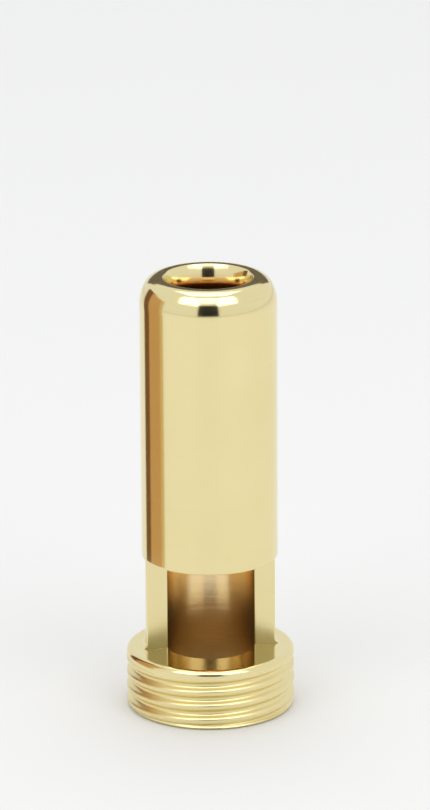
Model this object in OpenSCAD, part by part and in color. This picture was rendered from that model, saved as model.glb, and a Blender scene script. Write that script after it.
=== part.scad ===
// Bullet socket contact for a heavy battery lead: one turned brass piece, gold plated.
// A thick-walled socket barrel with a tapered nose stands on a cut-open solder cup
// and a threaded collar that screws into an insulating shell.
// +Z runs up the bore axis, the origin is the middle of the collar's bottom face
// and the solder cup's window looks along -Y.

/* [Barrel] */
// Outer diameter of the plain socket barrel
barrel_d = 7.0; // [6.6:0.1:8]
// Length from the window's upper edge to the mouth of the nose
barrel_len = 14.8; // [10:0.1:20]
// Small chamfer on the barrel's lower edge
barrel_edge = 0.08; // [0.04:0.01:0.1]

/* [Nose] */
// Angle of the nose's straight taper, measured from the axis
nose_angle = 29; // [26:0.5:30]
// Radius that blends the barrel into the taper
nose_blend_r = 1.90; // [1.5:0.05:1.9]
// Diameter at which the taper's line meets the end face
nose_tip_d = 6.04; // [5.9:0.02:6.06]
// Radius of the rounded corner between the taper and the end face
nose_corner_r = 0.72; // [0.3:0.02:0.72]

/* [Socket] */
// Diameter of the bore that takes the plug
socket_d = 4.0; // [3.6:0.05:4.1]
// Radius of the rounded lead-in at the mouth
lead_in_r = 2.5; // [2.2:0.1:2.8]
// Depth of the rounded lead-in
lead_in_len = 1.2; // [0.8:0.1:1.2]

/* [Solder cup] */
// Outer diameter of the solder cup
cup_d = 6.68; // [6.4:0.01:6.8]
// Diameter of the bore that takes the stripped conductor
cup_bore_d = 4.56; // [4.3:0.01:4.8]
// Height of the open window between the collar and the barrel
window_h = 4.92; // [4.4:0.01:7]
// Distance of the window's flat lands in front of the axis
land_y = 0.42; // [0:0.01:0.8]
// How far the conductor's bore runs on above the window
cup_over = 1.5; // [0.5:0.1:4]
// Half angle of the drilled cone that ends the conductor's bore
drill_half_angle = 59; // [45:1:70]
// Radius of the fillet at the foot of the cup
foot_r = 0.3; // [0.1:0.05:0.4]

/* [Threaded collar] */
// Crest diameter of the collar's external thread (pitch 0.75, right-hand)
collar_d = 8.64; // [8.4:0.02:10]
// Height of the collar
collar_h = 3.2; // [2.6:0.1:5]
// Chamfer at the bottom edge of the collar
collar_chamfer = 0.2; // [0.1:0.05:0.4]
// Radius of the collar's rounded top edge
collar_round = 0.3; // [0.2:0.05:0.4]

/* [Hidden] */
$fn = 96;

barrel_r = barrel_d/2;
cup_r = cup_d/2;
cup_bore_r = cup_bore_d/2;
socket_r = socket_d/2;
collar_r = collar_d/2;
barrel_z = collar_h + window_h;
total_h = barrel_z + barrel_len;

// Nose outline: barrel line, blend arc, straight taper, corner arc, end face
blend_cr = barrel_r - nose_blend_r;
blend_dr = nose_blend_r*cos(nose_angle);
blend_dz = nose_blend_r*sin(nose_angle);
// Height of the blend's centre, set so that the taper reaches nose_tip_d at the end face
blend_z = total_h - (blend_cr + blend_dr - nose_tip_d/2)/tan(nose_angle) - blend_dz;
// Length of each tangent at the rounded corner
corner_t = nose_corner_r*tan((90 - nose_angle)/2);
corner_r = nose_tip_d/2 - corner_t;
corner_z = total_h - nose_corner_r;
taper_end = [nose_tip_d/2 + corner_t*sin(nose_angle), total_h - corner_t*cos(nose_angle)];

lead_z = total_h - lead_in_len;
mouth_r = socket_r + lead_in_r - sqrt(lead_in_r*lead_in_r - lead_in_len*lead_in_len);

cup_top = barrel_z + cup_over;
drill_len = (cup_bore_r - socket_r)/tan(drill_half_angle);
// Overlap and clearance used so that cuts run past the faces that they open
over = 0.5;

// A slice of a disc between two angles, for the rounded edges of an outline
module sector(r, a0, a1) {
    far = 1.2*r;
    intersection() {
        circle(r);
        polygon([[0, 0], [far*cos(a0), far*sin(a0)],
                 [far*cos((a0 + a1)/2)*1.2, far*sin((a0 + a1)/2)*1.2],
                 [far*cos(a1), far*sin(a1)]]);
    }
}

// Half outline of the barrel with its tapered, round-cornered nose
module barrel_outline() {
    polygon([[0, barrel_z], [barrel_r - barrel_edge, barrel_z],
             [barrel_r, barrel_z + barrel_edge], [barrel_r, blend_z],
             [blend_cr + blend_dr, blend_z + blend_dz], taper_end,
             [corner_r, total_h], [0, total_h]]);
    translate([blend_cr, blend_z]) sector(nose_blend_r, 0, nose_angle);
    translate([corner_r, corner_z]) sector(nose_corner_r, nose_angle, 90);
}

// Half outline of the solder cup's tube with the fillet at its foot
module cup_outline() {
    translate([0, collar_h - over]) square([cup_r, window_h + 2*over]);
    difference() {
        translate([cup_r - 0.2, collar_h - 0.2]) square([foot_r + 0.2, foot_r + 0.2]);
        translate([cup_r + foot_r, collar_h + foot_r]) circle(foot_r);
    }
}

// Half outline of the collar at the thread's crest diameter
module collar_outline() {
    polygon([[0, 0], [collar_r - collar_chamfer, 0], [collar_r, collar_chamfer],
             [collar_r, collar_h - collar_round],
             [collar_r - collar_round, collar_h], [0, collar_h]]);
    translate([collar_r - collar_round, collar_h - collar_round])
        sector(collar_round, 0, 90);
}

// Half outline of everything that is bored out along the axis
module bore_outline() {
    // Conductor's bore, with its drilled end
    polygon([[0, -over], [cup_bore_r, -over], [cup_bore_r, cup_top],
             [socket_r, cup_top + drill_len], [0, cup_top + drill_len]]);
    // Socket bore
    translate([0, cup_top]) square([socket_r, lead_z - cup_top]);
    // Rounded lead-in at the mouth
    difference() {
        translate([0, lead_z]) square([mouth_r, lead_in_len]);
        translate([socket_r + lead_in_r, lead_z]) circle(lead_in_r);
    }
    // Run-out above the end face
    translate([0, total_h]) square([mouth_r, over]);
}

// The whole contact: one turned piece with the window milled out of its cup
module contact() {
    color([0.93, 0.78, 0.42])
    difference() {
        rotate_extrude(convexity = 6) difference() {
            union() {
                barrel_outline();
                cup_outline();
                collar_outline();
            }
            bore_outline();
        }
        // Window: everything in front of the lands, between collar and barrel
        translate([-barrel_d, -barrel_d, collar_h])
            cube([2*barrel_d, barrel_d - land_y, window_h]);
    }
}

contact();
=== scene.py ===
import bpy, math
import numpy as np
from mathutils import Matrix, Vector


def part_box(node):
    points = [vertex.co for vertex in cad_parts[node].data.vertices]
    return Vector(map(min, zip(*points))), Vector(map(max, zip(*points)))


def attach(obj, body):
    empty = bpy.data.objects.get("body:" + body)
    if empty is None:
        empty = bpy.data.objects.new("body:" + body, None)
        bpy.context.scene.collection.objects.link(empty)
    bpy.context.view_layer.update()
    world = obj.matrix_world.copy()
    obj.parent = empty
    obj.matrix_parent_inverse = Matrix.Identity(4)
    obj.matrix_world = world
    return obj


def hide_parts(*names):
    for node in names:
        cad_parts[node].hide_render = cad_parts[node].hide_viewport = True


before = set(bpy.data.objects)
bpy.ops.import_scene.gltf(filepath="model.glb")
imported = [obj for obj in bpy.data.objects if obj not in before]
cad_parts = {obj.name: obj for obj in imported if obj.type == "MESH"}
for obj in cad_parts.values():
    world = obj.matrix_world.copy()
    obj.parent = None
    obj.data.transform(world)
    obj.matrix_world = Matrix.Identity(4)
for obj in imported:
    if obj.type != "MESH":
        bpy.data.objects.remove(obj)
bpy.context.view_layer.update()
lo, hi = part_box("contact")

MM = 0.001
scene = bpy.context.scene

# ------------------------------------------------------------------ sizes, in mm
H = (hi[2] - lo[2]) / MM            # whole height
R_COLLAR = (hi[0] - lo[0]) / 2 / MM  # thread crest radius
R_BARREL = 3.5
R_CUP = 3.34
R_BORE = 2.28
R_SOCKET = 2.0
Z_COLLAR = 3.2
Z_WIN = 8.12
LAND_Y = 0.42
FOOT = 0.3
EDGE = 0.05                          # rounding of the milled edges
PITCH = 0.75
CUP_TOP = Z_WIN + 1.5


def arc(cx, cz, rad, a0, a1, n):
    """Points on an arc from angle a0 to a1 in degrees, ends included."""
    t = np.radians(np.linspace(a0, a1, n + 1))
    return [(cx + rad * math.cos(x), cz + rad * math.sin(x)) for x in t]


def line(p, q, n=1, inset=0.012):
    """Points along a line, with one close to each end so that shading stays flat between them."""
    p, q = np.array(p), np.array(q)
    length = float(np.hypot(*(q - p)))
    if length <= 3 * inset:
        ts = [0, 1]
    else:
        k = inset / length
        ts = [0, k] + [k + (1 - 2 * k) * i / n for i in range(1, n)] + [1 - k, 1]
    return [tuple(p + (q - p) * t) for t in ts]


def chain(*runs):
    """Joins runs of points and drops repeated ones."""
    out = []
    for run in runs:
        for p in run:
            if not out or math.hypot(p[0] - out[-1][0], p[1] - out[-1][1]) > 1e-6:
                out.append(p)
    return out


# ------------------------------------------------------------------ thread
def thread_table():
    """Depth below the crest over one pitch, for a rounded 60 degree thread."""
    t = np.linspace(0, 1, 1201)[:-1]
    d = np.minimum(t, 1 - t) * PITCH           # distance from the crest's middle
    flat = 0.25
    depth = 0.25
    v = np.clip((d - flat / 2) / math.tan(math.radians(30)), 0, depth)
    n = len(t)
    x = (np.arange(n) - n // 2) / n * PITCH
    g = np.exp(-0.5 * (x / 0.050) ** 2)
    g /= g.sum()
    v = np.real(np.fft.ifft(np.fft.fft(v) * np.fft.fft(np.fft.ifftshift(g))))
    return t, v - v.min()


T_T, T_D = thread_table()


def smooth(a, b, x):
    t = np.clip((x - a) / (b - a), 0, 1)
    return t * t * (3 - 2 * t)


def thread_depth(z, theta):
    """How far the thread's surface lies below the crest cylinder, at height z and angle theta."""
    crest = 0.331 + PITCH * (np.degrees(theta) - 173.0) / 360.0
    t = ((z - crest) / PITCH) % 1.0
    d = np.interp(t, T_T, T_D, period=1.0)
    return d * smooth(0.02, 0.30, z) * (1 - smooth(2.58, 2.90, z))


# ------------------------------------------------------------------ outline of the turned shape
NOSE_DEG = 29.0
NOSE = math.radians(NOSE_DEG)
BLEND = 1.9
TIP = 3.02
CORNER = 0.72
bc = R_BARREL - BLEND
bdr, bdz = BLEND * math.cos(NOSE), BLEND * math.sin(NOSE)
bz = H - (bc + bdr - TIP) / math.tan(NOSE) - bdz
ct = CORNER * math.tan((math.pi / 2 - NOSE) / 2)
cr, cz = TIP - ct, H - CORNER
LEAD_R, LEAD_L = 2.5, 1.2
lz = H - LEAD_L
rim_a = math.asin(LEAD_L / LEAD_R)
mouth = R_SOCKET + LEAD_R - LEAD_R * math.cos(rim_a)

# rounding between the flat lip and the lead-in's arc
RIM = 0.07
# centre at height H-RIM, at distance LEAD_R-RIM from the lead-in's centre
rim_dz = LEAD_L - RIM
rim_dx = math.sqrt((LEAD_R - RIM) ** 2 - rim_dz ** 2)
rim_cx = R_SOCKET + LEAD_R - rim_dx
rim_touch = math.degrees(math.atan2(rim_dz, -rim_dx))

bottom = chain(
    arc(R_BORE + 0.06, 0.06, 0.06, 180, 270, 3),
    line((R_BORE + 0.06, 0.0), (R_COLLAR - 0.24, 0.0), 3),
    arc(R_COLLAR - 0.24, 0.05, 0.05, 270, 315, 3),
    line((R_COLLAR - 0.24 + 0.05 * math.sin(math.radians(45)), 0.05 - 0.05 * math.cos(math.radians(45))),
         (R_COLLAR, 0.2 + 0.01), 4, 0.01),
)
z_thread = np.linspace(0.21, 2.9, 92)
thread_run = [(R_COLLAR, float(z)) for z in z_thread]
collar_top = chain(
    arc(R_COLLAR - 0.3, Z_COLLAR - 0.3, 0.3, 0, 90, 10),
    line((R_COLLAR - 0.3, Z_COLLAR), (R_CUP + FOOT, Z_COLLAR), 2),
)
outer_a = chain(bottom, thread_run, collar_top)               # up to the foot of the cup
foot_rows = arc(R_CUP + FOOT, Z_COLLAR + FOOT, FOOT, 270, 180, 7)
wall_rows = [(R_CUP, z) for z in (Z_COLLAR + FOOT + 0.02, 4.2, 5.0, 5.8, 6.6, 7.4, Z_WIN - 0.02, Z_WIN)]
cup_rows = chain(foot_rows, wall_rows)                        # first row is the last of outer_a
upper = chain(
    [(R_CUP, Z_WIN)],
    line((R_CUP, Z_WIN), (R_BARREL - 0.09, Z_WIN), 1, 0.008),
    arc(R_BARREL - 0.09, Z_WIN + 0.09, 0.09, 270, 360, 5),
    line((R_BARREL, Z_WIN + 0.09), (R_BARREL, bz), 10, 0.03),
    arc(bc, bz, BLEND, 0, NOSE_DEG, 16),
    line((bc + bdr, bz + bdz), (TIP + ct * math.sin(NOSE), H - ct * math.cos(NOSE)), 2, 0.02),
    arc(cr, cz, CORNER, NOSE_DEG, 90, 20),
    line((cr, H), (rim_cx, H), 2, 0.015),
    arc(rim_cx, H - RIM, RIM, 90, rim_touch, 5),
    arc(R_SOCKET + LEAD_R, lz, LEAD_R, rim_touch, 180, 22),
    line((R_SOCKET, lz), (R_SOCKET, CUP_TOP + 0.168), 8, 0.03),
    line((R_SOCKET, CUP_TOP + 0.168), (R_BORE, CUP_TOP), 1, 0.02),
    line((R_BORE, CUP_TOP), (R_BORE, Z_WIN + 0.001), 3, 0.03),
    [(R_BORE, Z_WIN)],
)
inner_rows = [(R_BORE, z) for (_, z) in cup_rows]             # bore wall beside the cup, upwards
lower_bore = chain(
    [(R_BORE, Z_COLLAR)],
    line((R_BORE, Z_COLLAR - 0.001), (R_BORE, 0.06), 4, 0.03),
)

# ------------------------------------------------------------------ mesh
# the third value, inside, drives the painted shade of the base colour inside the bores, as well as extra roughness
# and rings there
verts, faces, finish_and_shade = [], [], []    # finish: per vertex (turned lines, milled lines, inside)


def psi(r):
    """Angle below the X axis at which the land's plane cuts a circle of radius r."""
    return np.arcsin(np.clip(LAND_Y / np.asarray(r, float), 0, 0.999))


def psi_out(r):
    return math.asin((LAND_Y - EDGE) / (r - EDGE))


def psi_in(r):
    return math.asin((LAND_Y - EDGE) / (r + EDGE))


def land_section(r_out, n=4):
    """Points (radius, angle below X) across one land, from the outer wall to the bore."""
    pts = []
    xo = math.sqrt((r_out - EDGE) ** 2 - (LAND_Y - EDGE) ** 2)
    yo = -(LAND_Y - EDGE)
    a0 = math.degrees(math.atan2(yo, xo))
    for a in np.linspace(a0, -90, n + 1):
        pts.append((xo + EDGE * math.cos(math.radians(a)), yo + EDGE * math.sin(math.radians(a))))
    xi = math.sqrt((R_BORE + EDGE) ** 2 - (LAND_Y - EDGE) ** 2)
    x_a, x_b = xo, xi
    for t in (0.02, 0.25, 0.5, 0.75, 0.98):
        pts.append((x_a + (x_b - x_a) * t, -LAND_Y))
    a1 = math.degrees(math.atan2(yo, xi)) - 180     # towards the axis, seen from the corner's centre
    for a in np.linspace(-90, a1, n + 1):
        pts.append((xi + EDGE * math.cos(math.radians(a)), yo + EDGE * math.sin(math.radians(a))))
    return [(math.hypot(x, y), -math.atan2(y, x)) for x, y in pts]


NB, NF = 184, 156                    # columns behind and in front of the lands


def put(r, theta, z, tag):
    verts.append((r * math.cos(theta), r * math.sin(theta), z))
    finish_and_shade.append(tag)
    return len(verts) - 1


def radius(r, z, theta, threaded):
    if threaded:
        return min(r, R_COLLAR - float(thread_depth(z, theta)))
    return r


def grid(points, front):
    """points: (r, z, psi, threaded, shift, tag). One column of vertices for each angle."""
    n = NF if front else NB
    cols = []
    for k in range(n + 1):
        u = k / n
        col = []
        for (r, z, ps, th, shift, tag) in points:
            if front:
                theta = math.pi + ps + u * (math.pi - 2 * ps)
            else:
                theta = -ps + u * (math.pi + 2 * ps)
            if shift:
                s = float(smooth(0, 0.05, u) * smooth(0, 0.05, 1 - u))
                r_, z_ = r + shift[0] * s, z + shift[1] * s
            else:
                r_, z_ = r, z
            col.append(put(radius(r_, z_, theta, th), theta, z_, tag))
        cols.append(col)
    return cols


def skin(cols, closed):
    m = len(cols[0])
    for k in range(len(cols) - 1):
        a, b = cols[k], cols[k + 1]
        for i in range(m if closed else m - 1):
            j = (i + 1) % m
            faces.append((a[i], b[i], b[j], a[j]))


# tags are (turned lines, milled lines, inside); inside darkens and reddens the base colour there as painted shade
TURN, LIP, MILL, BORE = (1, 0, 0), (1, 0, 0), (0, 1, 0), (1, 0, 1)
is_thread = lambda z: z < 3.0


def plain(run, tag, threaded=False):
    return [(r, z, float(psi(r)), threaded and is_thread(z), None, tag) for (r, z) in run]


back = plain(outer_a[:-1], TURN, True)
back += [(r, z, psi_out(r), False, None, TURN) for (r, z) in cup_rows]
up = plain(upper[1:-1], TURN)
# the inside value, and with it the painted shade, fades out towards the flat lip round the mouth
for i, (r, z, ps, th, sh, tag) in enumerate(up):
    if i > 12 and r < mouth + 0.01:
        up[i] = (r, z, ps, th, sh, (1, 0, float(1 - smooth(H - 0.95, H - 0.30, z))))
back += up
back += [(r, z, psi_in(R_BORE), False, None, BORE) for (r, z) in inner_rows[::-1]]
back += plain(lower_bore[2:-1], BORE)
back_cols = grid(back, False)
skin(back_cols, True)

sect = land_section(R_CUP + FOOT)
sect_top = land_section(R_CUP)
C = 0.05                              # edge break at the bore's front rims

front_low = plain(outer_a[:-1], TURN, True)
front_low += [(r, Z_COLLAR, ps, False, (C * max(0, 1 - (r - R_BORE) / 0.3), 0) if r < R_BORE + 0.3 else None, TURN)
              for (r, ps) in sect]
for a in (22.5, 45, 67.5, 90):
    s, c = math.sin(math.radians(a)), math.cos(math.radians(a))
    front_low.append((R_BORE, Z_COLLAR, sect[-1][1], False, (C - C * s, -(C - C * c)), BORE))
front_low += plain(lower_bore[2:-1], BORE)
front_low_cols = grid(front_low, True)
skin(front_low_cols, True)

front_up = [(R_CUP, Z_WIN, sect_top[0][1], False, None, TURN)]
front_up += up
for a in (90, 67.5, 45, 22.5):
    s, c = math.sin(math.radians(a)), math.cos(math.radians(a))
    front_up.append((R_BORE, Z_WIN, sect_top[-1][1], False, (C - C * s, C - C * c), BORE))
front_up += [(r, Z_WIN, ps, False, (C * max(0, 1 - (r - R_BORE) / 0.3), 0) if r < R_BORE + 0.3 else None, TURN)
             for (r, ps) in sect_top[:0:-1]]
front_up_cols = grid(front_up, True)
skin(front_up_cols, True)

for side in (0, 1):                   # the two lands
    rows = []
    for (r, z) in cup_rows:
        row = []
        for (rr, ps) in land_section(r):
            theta = -ps if side == 0 else math.pi + ps
            row.append(put(rr, theta, z, MILL))
        rows.append(row)
    for a, b in zip(rows, rows[1:]):
        for i in range(len(a) - 1):
            q = (a[i], a[i + 1], b[i + 1], b[i])
            faces.append(q if side else q[::-1])

me = bpy.data.meshes.new("contact_gold")
me.from_pydata([(x * MM, y * MM, z * MM) for x, y, z in verts], [], faces)
att = me.attributes.new("finish_and_shade", "FLOAT_VECTOR", "POINT")
att.data.foreach_set("vector", np.array(finish_and_shade, float).ravel())
me.validate(clean_customdata=False)

import bmesh
bm = bmesh.new()
bm.from_mesh(me)
bmesh.ops.remove_doubles(bm, verts=bm.verts, dist=2e-7)
bmesh.ops.dissolve_degenerate(bm, edges=bm.edges, dist=1e-8)
bmesh.ops.recalc_face_normals(bm, faces=bm.faces)
open_edges = sum(1 for e in bm.edges if len(e.link_faces) != 2)
print("contact mesh: faces", len(bm.faces), "edges not shared by two faces", open_edges,
      "volume mm3", round(bm.calc_volume(signed=True) * 1e9, 2))
bm.to_mesh(me)
bm.free()
me.shade_smooth()
me.set_sharp_from_angle(angle=math.radians(38))

contact = bpy.data.objects.new("contact_gold", me)
scene.collection.objects.link(contact)
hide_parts("contact")
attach(contact, "root")


# ------------------------------------------------------------------ gold plating
def gold_material():
    m = bpy.data.materials.new("gold_plate_polished")
    m.use_nodes = True
    nt = m.node_tree
    nt.nodes.clear()
    N, L = nt.nodes.new, nt.links.new
    out = N("ShaderNodeOutputMaterial")
    bsdf = N("ShaderNodeBsdfPrincipled")
    L(bsdf.outputs[0], out.inputs[0])
    bsdf.inputs["Metallic"].default_value = 1.0
    geo = N("ShaderNodeTexCoord")
    attr = N("ShaderNodeAttribute")
    attr.attribute_name = "finish_and_shade"
    sep_f = N("ShaderNodeSeparateXYZ")
    L(attr.outputs["Vector"], sep_f.inputs[0])

    # radius and height, in mm, for marks that run round the axis
    sep = N("ShaderNodeSeparateXYZ")
    L(geo.outputs["Object"], sep.inputs[0])

    def math_node(op, a, b=None, clamp=False):
        n = N("ShaderNodeMath")
        n.operation = op
        n.use_clamp = clamp
        for i, v in enumerate((a, b)):
            if v is None:
                continue
            if isinstance(v, (int, float)):
                n.inputs[i].default_value = v
            else:
                L(v, n.inputs[i])
        return n.outputs[0]

    x2 = math_node("MULTIPLY", sep.outputs[0], sep.outputs[0])
    y2 = math_node("MULTIPLY", sep.outputs[1], sep.outputs[1])
    rad = math_node("SQRT", math_node("ADD", x2, y2))
    r_mm = math_node("MULTIPLY", rad, 1000.0)
    z_mm = math_node("MULTIPLY", sep.outputs[2], 1000.0)
    ang = N("ShaderNodeMath")
    ang.operation = "ARCTAN2"
    L(sep.outputs[1], ang.inputs[0])
    L(sep.outputs[0], ang.inputs[1])

    # turned lines: fine rings that depend on height and radius, almost constant round the axis
    comb = N("ShaderNodeCombineXYZ")
    L(math_node("MULTIPLY", z_mm, 26.0), comb.inputs[0])
    L(math_node("MULTIPLY", r_mm, 26.0), comb.inputs[1])
    L(math_node("MULTIPLY", sep.outputs[0], 60.0), comb.inputs[2])
    rings = N("ShaderNodeTexNoise")
    rings.inputs["Scale"].default_value = 1.0
    rings.inputs["Detail"].default_value = 3.0
    rings.inputs["Roughness"].default_value = 0.6
    L(comb.outputs[0], rings.inputs["Vector"])

    # milled lines across the lands
    comb2 = N("ShaderNodeCombineXYZ")
    L(math_node("MULTIPLY", z_mm, 14.0), comb2.inputs[0])
    L(math_node("MULTIPLY", sep.outputs[0], 900.0), comb2.inputs[1])
    mill = N("ShaderNodeTexNoise")
    mill.inputs["Scale"].default_value = 1.0
    mill.inputs["Detail"].default_value = 2.0
    L(comb2.outputs[0], mill.inputs["Vector"])

    # soft clouding of the plating
    cloud = N("ShaderNodeTexNoise")
    cloud.inputs["Scale"].default_value = 260.0
    cloud.inputs["Detail"].default_value = 4.0
    cloud.inputs["Roughness"].default_value = 0.55
    L(geo.outputs["Object"], cloud.inputs["Vector"])
    fine = N("ShaderNodeTexNoise")
    fine.inputs["Scale"].default_value = 3200.0
    fine.inputs["Detail"].default_value = 3.0
    L(geo.outputs["Object"], fine.inputs["Vector"])

    ramp = N("ShaderNodeValToRGB")
    ramp.color_ramp.elements[0].position = 0.30
    ramp.color_ramp.elements[0].color = (0.850, 0.735, 0.385, 1)
    ramp.color_ramp.elements[1].position = 0.72
    ramp.color_ramp.elements[1].color = (0.872, 0.768, 0.425, 1)
    L(cloud.outputs["Fac"], ramp.inputs[0])
    # rings carry a very slight tone of their own
    tone = N("ShaderNodeMix")
    tone.data_type = "RGBA"
    tone.blend_type = "MULTIPLY"
    fac = math_node("MULTIPLY", math_node("SUBTRACT", rings.outputs["Fac"], 0.45, True), sep_f.outputs[0])
    L(math_node("MULTIPLY", fac, 1.2), tone.inputs[0])
    a_in = [s for s in tone.inputs if s.name == "A" and s.type == "RGBA"][0]
    b_in = [s for s in tone.inputs if s.name == "B" and s.type == "RGBA"][0]
    b_in.default_value = (0.93, 0.88, 0.76, 1)
    # painted shade: inside the bores the base colour is redder, and darker again up the socket from 10 to 14 mm
    # high, standing for the shade and repeated reflections in the hollow
    painted_shade_mix = N("ShaderNodeMix")
    painted_shade_mix.data_type = "RGBA"
    L(sep_f.outputs[2], painted_shade_mix.inputs[0])
    ia = [s for s in painted_shade_mix.inputs if s.name == "A" and s.type == "RGBA"][0]
    painted_shade_in = [s for s in painted_shade_mix.inputs if s.name == "B" and s.type == "RGBA"][0]
    painted_bore_shade = N("ShaderNodeValToRGB")
    painted_bore_shade.color_ramp.elements[0].color = (0.93, 0.71, 0.40, 1)
    painted_bore_shade.color_ramp.elements[0].position = 0.5
    painted_bore_shade.color_ramp.elements[1].color = (0.80, 0.51, 0.25, 1)
    painted_bore_shade.color_ramp.elements[1].position = 0.7
    L(math_node("MULTIPLY", z_mm, 1 / 20.0), painted_bore_shade.inputs[0])
    L(painted_bore_shade.outputs[0], painted_shade_in)
    L(ramp.outputs[0], ia)
    L([s for s in painted_shade_mix.outputs if s.type == "RGBA"][0], a_in)
    L([s for s in tone.outputs if s.type == "RGBA"][0], bsdf.inputs["Base Color"])

    rough = math_node("ADD", 0.085, math_node("MULTIPLY", cloud.outputs["Fac"], 0.05))
    rough = math_node("ADD", rough, math_node("MULTIPLY", fine.outputs["Fac"], 0.02))
    low = math_node("LESS_THAN", z_mm, 10.0)
    rough = math_node("ADD", rough, math_node("MULTIPLY", math_node("MULTIPLY", sep_f.outputs[2], low), 0.10))
    # the threaded collar is a little less polished than the barrel
    n_thr = N("ShaderNodeMapRange")
    L(z_mm, n_thr.inputs[0])
    n_thr.inputs[1].default_value, n_thr.inputs[2].default_value = 2.7, 3.1
    n_thr.inputs[3].default_value, n_thr.inputs[4].default_value = 0.20, 0.0
    rough = math_node("ADD", rough, math_node("MULTIPLY", n_thr.outputs[0], math_node("SUBTRACT", 1.0, sep_f.outputs[2])))
    rough = math_node("ADD", rough, math_node("MULTIPLY", sep_f.outputs[1], 0.16))
    L(rough, bsdf.inputs["Roughness"])

    # bump: rings where turned, stronger inside the bores, straight marks on the lands
    h_turn = math_node("MULTIPLY", rings.outputs["Fac"],
                       math_node("MULTIPLY", sep_f.outputs[0], math_node("ADD", 0.25, math_node("MULTIPLY", math_node("MULTIPLY", sep_f.outputs[2], low), 4.0))))
    h_mill = math_node("MULTIPLY", mill.outputs["Fac"], math_node("MULTIPLY", sep_f.outputs[1], 0.5))
    h_fine = math_node("MULTIPLY", fine.outputs["Fac"], 0.10)
    h = math_node("ADD", math_node("ADD", h_turn, h_mill), h_fine)
    bump = N("ShaderNodeBump")
    bump.inputs["Strength"].default_value = 0.35
    bump.inputs["Distance"].default_value = 0.0000035
    L(h, bump.inputs["Height"])
    L(bump.outputs[0], bsdf.inputs["Normal"])
    return m


contact.data.materials.append(gold_material())


# ------------------------------------------------------------------ floor and light
def pale_material(name, colour, rough=0.6):
    m = bpy.data.materials.new(name)
    m.use_nodes = True
    nt = m.node_tree
    b = nt.nodes["Principled BSDF"]
    n = nt.nodes.new("ShaderNodeTexNoise")
    n.inputs["Scale"].default_value = 40.0
    n.inputs["Detail"].default_value = 2.0
    c = nt.nodes.new("ShaderNodeValToRGB")
    c.color_ramp.elements[0].color = tuple(0.99 * v for v in colour) + (1,)
    c.color_ramp.elements[1].color = tuple(colour) + (1,)
    tc = nt.nodes.new("ShaderNodeTexCoord")
    nt.links.new(tc.outputs["Object"], n.inputs["Vector"])
    nt.links.new(n.outputs["Fac"], c.inputs[0])
    nt.links.new(c.outputs[0], b.inputs["Base Color"])
    b.inputs["Roughness"].default_value = rough
    b.inputs["Specular IOR Level"].default_value = 0.1
    return m


def quad(name, corners, mat, camera=False):
    me = bpy.data.meshes.new(name)
    me.from_pydata([tuple(v * MM for v in c) for c in corners], [], [(0, 1, 2, 3)])
    o = bpy.data.objects.new(name, me)
    me.materials.append(mat)
    scene.collection.objects.link(o)
    if not camera:
        o.visible_camera = False
    return o


quad("floor", [(-1500, -1500, 0), (1500, -1500, 0), (1500, 1500, 0), (-1500, 1500, 0)],
     pale_material("floor_pale", (0.735, 0.733, 0.727)), camera=True)

# camera, with the solder window turned a few degrees from it
AZ, PITCH_DEG, ROLL = math.radians(-7.0), math.radians(17.51), math.radians(0.34)
F_PX, DIST = 5500.0, 280.0
right = Vector((math.cos(AZ), math.sin(AZ), 0))
fwd_h = Vector((-math.sin(AZ), math.cos(AZ), 0))
fwd = fwd_h * math.cos(PITCH_DEG) + Vector((0, 0, -math.sin(PITCH_DEG)))
upv = fwd_h * math.sin(PITCH_DEG) + Vector((0, 0, math.cos(PITCH_DEG)))
target = right * (0.311 * MM) + Vector((0, 0, 16.097 * MM))
r2 = right * math.cos(ROLL) - upv * math.sin(ROLL)
u2 = right * math.sin(ROLL) + upv * math.cos(ROLL)
cam_d = bpy.data.cameras.new("camera")
cam = bpy.data.objects.new("camera", cam_d)
scene.collection.objects.link(cam)
cam_d.sensor_width = 36.0
cam_d.lens = F_PX / 810.0 * 36.0
cam_d.clip_start, cam_d.clip_end = 0.01, 10
M = Matrix((r2, u2, -fwd)).transposed().to_4x4()
M.translation = target - fwd * (DIST * MM)
cam.matrix_world = M
scene.camera = cam

# dark card round the camera, which the polished metal mirrors
back_dir = -fwd_h


def at(dist, side, up):
    """A point dist mm in front of the object, side mm to the camera's right, up mm high."""
    p = back_dir * dist + right * side
    return (p.x, p.y, up)


dark = pale_material("card_dark", (0.02, 0.02, 0.022), 0.9)
quad("card_camera", [at(420, -132, 15), at(420, 132, 15), at(420, 132, 290), at(420, -132, 290)], dark)

# low tan card to the left
tan = pale_material("card_tan", (0.62, 0.38, 0.19), 0.8)


def around(az_deg, dist, z):
    """A point at an angle from straight behind, counted towards the camera's left."""
    a = math.radians(az_deg)
    p = fwd_h * (math.cos(a) * dist) - right * (math.sin(a) * dist)
    return (p.x, p.y, z)


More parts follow.
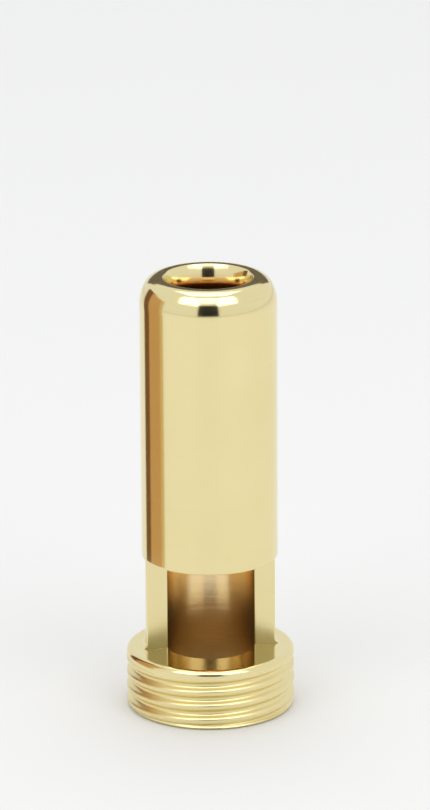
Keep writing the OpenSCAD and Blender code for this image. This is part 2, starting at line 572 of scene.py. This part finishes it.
brown = pale_material("card_brown", (0.20, 0.095, 0.045), 0.8)
sand = pale_material("card_sand", (0.72, 0.55, 0.30), 0.8)
for name, a, b, mat in (("card_left_a", 53, 69.5, brown), ("card_left_b", 69.5, 97, tan), ("card_left_c", 97, 103.5, sand)):
    card = quad(name, [around(a, 24, 0.2), around(b, 24, 0.2), around(b, 24, 30), around(a, 24, 30)], mat)
    card.visible_diffuse = False
    card.visible_shadow = False

# dark strip behind and above, which only the flat lip round the mouth mirrors
strip = quad("card_lip", [at(-15, -11, 25.3), at(-15, 11, 25.3), at(-15, 11, 32), at(-15, -11, 32)],
             pale_material("card_strip", (0.16, 0.135, 0.115), 0.9))
strip.visible_diffuse = False
strip.visible_shadow = False

world = bpy.data.worlds.new("studio")
scene.world = world
world.use_nodes = True
bg = world.node_tree.nodes["Background"]
bg.inputs[0].default_value = (0.98, 0.99, 1.0, 1)
bg.inputs[1].default_value = 0.88


def softbox(name, az, el, dist, w, h, power, colour=(1, 1, 1)):
    a, e = math.radians(az), math.radians(el)
    d = (fwd_h * -math.cos(a) + right * math.sin(a)) * math.cos(e) + Vector((0, 0, math.sin(e)))
    ld = bpy.data.lights.new(name, "AREA")
    ld.shape = "RECTANGLE"
    ld.size, ld.size_y = w * MM, h * MM
    ld.energy = power
    ld.color = colour
    o = bpy.data.objects.new(name, ld)
    scene.collection.objects.link(o)
    o.location = d * (dist * MM) + Vector((0, 0, 12 * MM))
    o.rotation_mode = "QUATERNION"
    o.rotation_quaternion = d.to_track_quat("Z", "Y")
    o.visible_camera = False
    return o


# power for a radiance L from an area A: P = pi * A * L (both sides of the formula in W)
def power(w, h, radiance):
    return math.pi * (w * MM) * (h * MM) * radiance * 4 / 4


softbox("soft_left", -37, 48, 500, 300, 300, power(300, 300, 1.55))
softbox("soft_right", 37, 48, 500, 300, 300, power(300, 300, 1.55))
softbox("soft_front", 0, 54, 500, 150, 260, power(150, 260, 1.3))
softbox("soft_top", 180, 75, 600, 400, 400, power(400, 400, 1.4))

scene.view_settings.view_transform = "Standard"
scene.view_settings.look = "None"
scene.view_settings.exposure = 0.0
